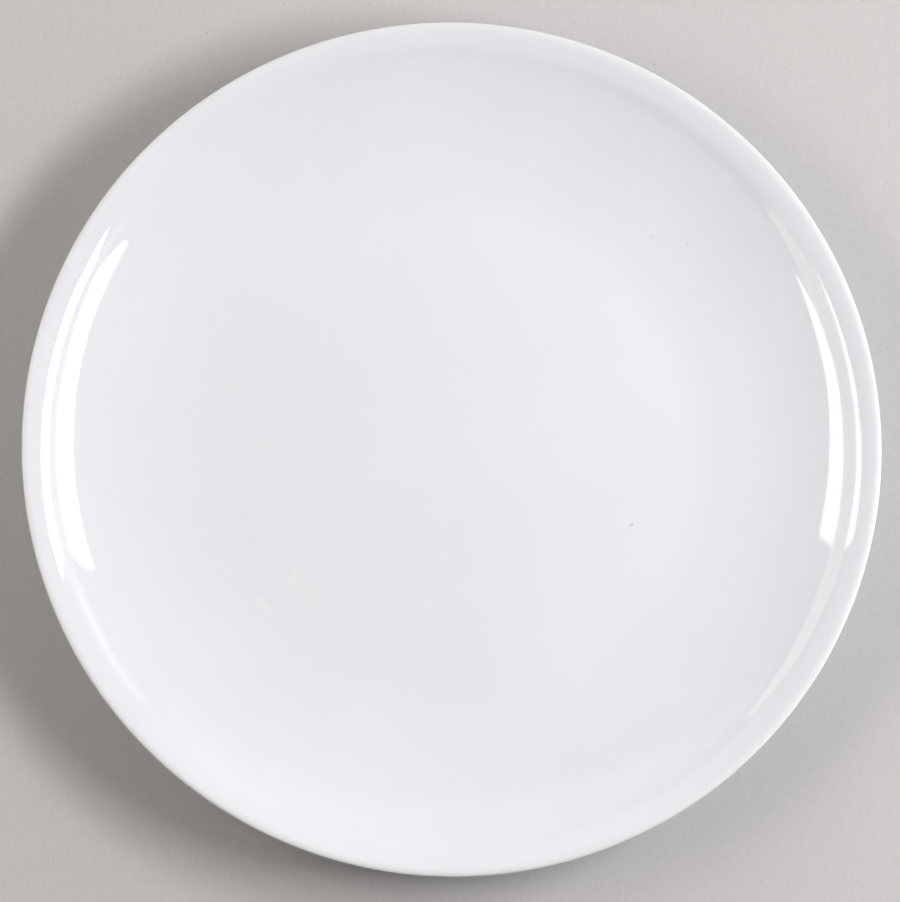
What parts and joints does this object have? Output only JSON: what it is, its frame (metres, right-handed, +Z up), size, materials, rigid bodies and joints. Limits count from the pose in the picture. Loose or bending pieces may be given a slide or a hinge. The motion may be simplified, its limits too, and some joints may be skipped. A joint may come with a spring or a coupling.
{
  "type": "salad plate",
  "caption": "Round coupe salad plate in glossy cold-white porcelain: flat floor, curved wall with a crease under a slightly flared lip, and a low foot ring underneath.",
  "frame": {"origin": "on the plate's axis, in the plane of the foot ring's bearing face", "axes": "+Z up along the plate's axis; X and Y are free, because the plate is a solid of revolution"},
  "size_m": [0.2032, 0.2032, 0.0192],
  "materials": {
    "glazed_porcelain": "glossy clear glaze over cold-white porcelain, with the foot ring's bearing face left bare"
  },
  "bodies": {
    "root": {"plate_body": "glazed_porcelain"}
  },
  "joints": []
}
